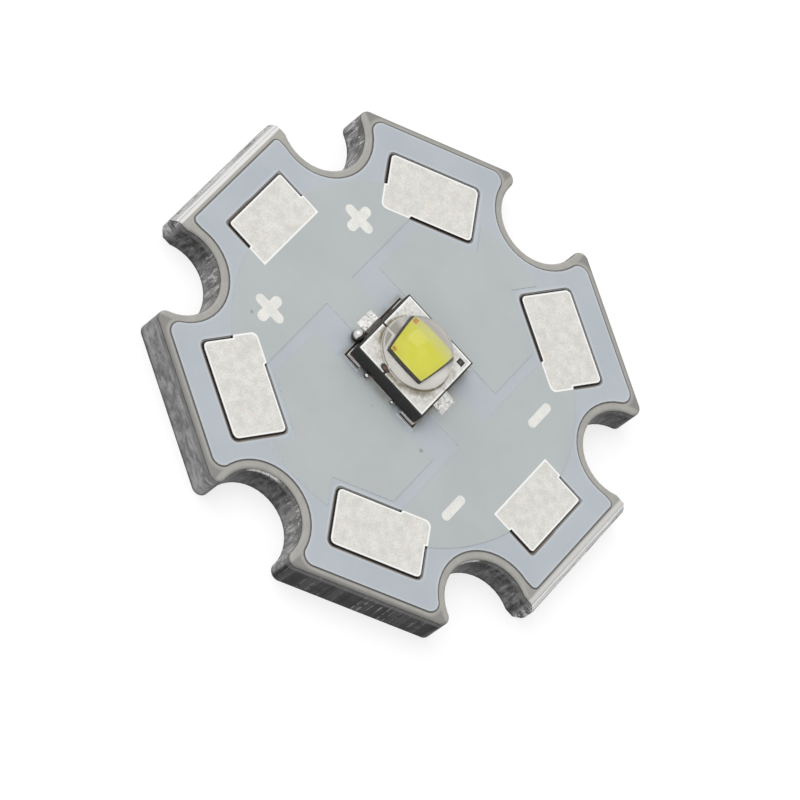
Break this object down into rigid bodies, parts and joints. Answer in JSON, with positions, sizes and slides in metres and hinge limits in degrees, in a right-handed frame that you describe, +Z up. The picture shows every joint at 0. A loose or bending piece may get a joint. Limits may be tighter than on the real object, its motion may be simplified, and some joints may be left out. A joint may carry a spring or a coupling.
{
  "type": "star board power led",
  "caption": "Star-shaped aluminium-core board with tinned wire pads, polarity marks and screw notches, carrying a domed white power LED on a ceramic package.",
  "frame": {"origin": "centre of the board's bottom face", "axes": "+Z up out of the dome; +Y along the plus arm; +X across two screw notches"},
  "size_m": [0.0198, 0.0194, 0.0036],
  "materials": {
    "plate": "rolled faces, punched edges",
    "film": "matte filled epoxy",
    "copper": "copper foil",
    "mask": "white solder mask, satin",
    "tin": "mottled hot-air tin",
    "solder": "bright solder",
    "gilt": "plated metal",
    "ceramic": "dark fired ceramic",
    "silvering": "silver plate, flux stains",
    "ink": "matte",
    "die": "dark die",
    "phosphor": "matte phosphor",
    "bond_gold": "gold under phosphor",
    "silicone": "clear moulded silicone"
  },
  "bodies": {
    "root": {"base_plate": "plate", "dielectric_layer": "film", "copper_anode": "copper", "copper_cathode": "copper", "copper_thermal": "copper", "solder_mask": "mask", "tin_pad_1": "tin", "tin_pad_2": "tin", "tin_pad_3": "tin", "tin_pad_4": "tin", "tin_pad_5": "tin", "tin_pad_6": "tin", "plus_mark_left": "tin", "plus_mark_right": "tin", "minus_mark_left": "tin", "minus_mark_right": "tin", "solder_anode": "solder", "solder_thermal": "solder", "solder_cathode": "solder", "solder_bead_1": "solder", "solder_bead_2": "solder", "solder_bead_3": "solder", "terminal_anode": "gilt", "terminal_thermal": "gilt", "terminal_cathode": "gilt", "led_body": "ceramic", "via_anode": "gilt", "via_cathode": "gilt", "top_metal_anode": "silvering", "top_metal_cathode": "silvering", "polarity_mark": "ink", "led_chip": "die", "phosphor_plate": "phosphor", "bond_pad_left": "bond_gold", "bond_pad_right": "bond_gold", "led_lens": "silicone"}
  },
  "joints": []
}
